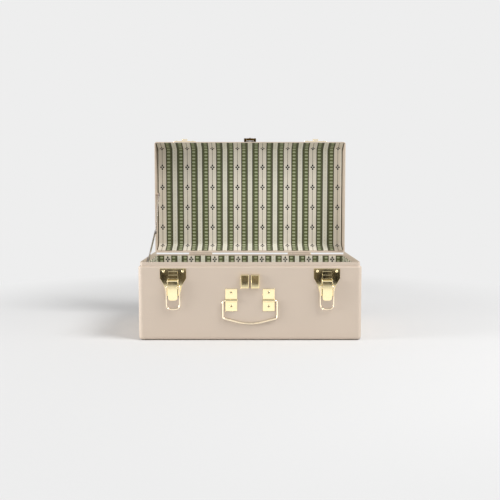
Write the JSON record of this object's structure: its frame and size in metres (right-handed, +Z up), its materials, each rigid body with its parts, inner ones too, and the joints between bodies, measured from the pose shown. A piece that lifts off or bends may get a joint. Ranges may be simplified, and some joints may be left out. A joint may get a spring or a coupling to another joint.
{
  "type": "trunk",
  "caption": "Small rectangular steel trunk with a hinged lid standing open, striped cloth lining, front drop handle, draw latches and a padlock staple.",
  "frame": {"origin": "middle of the flat base, on the ground plane", "axes": "+X along the front towards the viewer's right, +Y from front to back, +Z up; the latches and handle face -Y"},
  "size_m": [0.42, 0.3013, 0.398],
  "materials": {
    "painted_steel": "smooth",
    "brass": "polished, lightly tarnished",
    "nickel": "polished nickel plate",
    "lining": "woven",
    "floor_board": "matte"
  },
  "bodies": {
    "case": {"case_wall": "painted_steel", "case_bottom": "painted_steel", "case_collar_front": "painted_steel", "case_collar_back": "painted_steel", "case_collar_left": "painted_steel", "case_collar_right": "painted_steel", "case_collar_corners": "painted_steel", "case_lining": "lining", "case_floor_board": "floor_board", "case_floor_lining": "lining", "hinge_case_leaf_left": "painted_steel", "hinge_case_leaf_right": "painted_steel", "hinge_pins": "brass", "hinge_case_rivets": "painted_steel", "latch_plate_left": "brass", "latch_plate_right": "brass", "latch_pins": "brass", "latch_rivets": "brass", "staple_blocks": "brass", "handle_plate_left": "brass", "handle_plate_right": "brass", "handle_screws": "brass", "stay_case_stud": "nickel"},
    "lid": {"lid_shell": "painted_steel", "lid_lining": "lining", "hinge_lid_leaf_left": "painted_steel", "hinge_lid_leaf_right": "painted_steel", "hinge_lid_rivets": "painted_steel", "strike_left": "brass", "strike_right": "brass", "strike_rivets": "brass", "hasp_plate": "brass", "hasp_pin": "brass", "hasp_rivets": "brass", "stay_lid_boss": "painted_steel"},
    "latch_lever_left": {"latch_lever_left": "brass"},
    "latch_lever_right": {"latch_lever_right": "brass"},
    "latch_loop_left": {"latch_loop_left": "brass"},
    "latch_loop_right": {"latch_loop_right": "brass"},
    "handle_bail": {"handle_bail": "brass"},
    "hasp_flap": {"hasp_flap": "brass"},
    "stay_lower_arm": {"stay_lower_arm": "nickel"},
    "stay_upper_arm": {"stay_upper_arm": "nickel"}
  },
  "joints": [
    {"name": "lid_hinge", "type": "hinge", "parent": "case", "child": "lid", "pos_m": [0, 0.1246, 0.1406], "axis": [1, 0, 0], "range_deg": [0, 90]},
    {"name": "stay_foot", "type": "hinge", "parent": "case", "child": "stay_lower_arm", "pos_m": [-0.2041, -0.05, 0.129], "axis": [1, 0, 0], "range_deg": [-23.4, 0]},
    {"name": "stay_knee", "type": "hinge", "parent": "stay_lower_arm", "child": "stay_upper_arm", "pos_m": [-0.2026, 0.0775, 0.1915], "axis": [1, 0, 0], "range_deg": [0, 140]},
    {"name": "hasp_hinge", "type": "hinge", "parent": "lid", "child": "hasp_flap", "pos_m": [0, 0.129, 0.3929], "axis": [1, 0, 0], "range_deg": [0, 180]},
    {"name": "handle_pivot", "type": "hinge", "parent": "case", "child": "handle_bail", "pos_m": [0, -0.1242, 0.0759], "axis": [-1, 0, 0], "range_deg": [0, 120]},
    {"name": "latch_fulcrum_left", "type": "hinge", "parent": "case", "child": "latch_lever_left", "pos_m": [-0.144, -0.1272, 0.1122], "axis": [-1, 0, 0], "range_deg": [0, 150]},
    {"name": "latch_loop_pivot_left", "type": "hinge", "parent": "latch_lever_left", "child": "latch_loop_left", "pos_m": [-0.144, -0.1262, 0.1028], "axis": [1, 0, 0], "range_deg": [-180, 0]},
    {"name": "latch_fulcrum_right", "type": "hinge", "parent": "case", "child": "latch_lever_right", "pos_m": [0.144, -0.1272, 0.1122], "axis": [-1, 0, 0], "range_deg": [0, 150]},
    {"name": "latch_loop_pivot_right", "type": "hinge", "parent": "latch_lever_right", "child": "latch_loop_right", "pos_m": [0.144, -0.1262, 0.1028], "axis": [1, 0, 0], "range_deg": [-180, 0]}
  ],
  "couplings": [
    {"joint": "stay_foot", "follows": "lid_hinge", "ratio": -0.25929},
    {"joint": "stay_knee", "follows": "lid_hinge", "ratio": 1.5551}
  ]
}
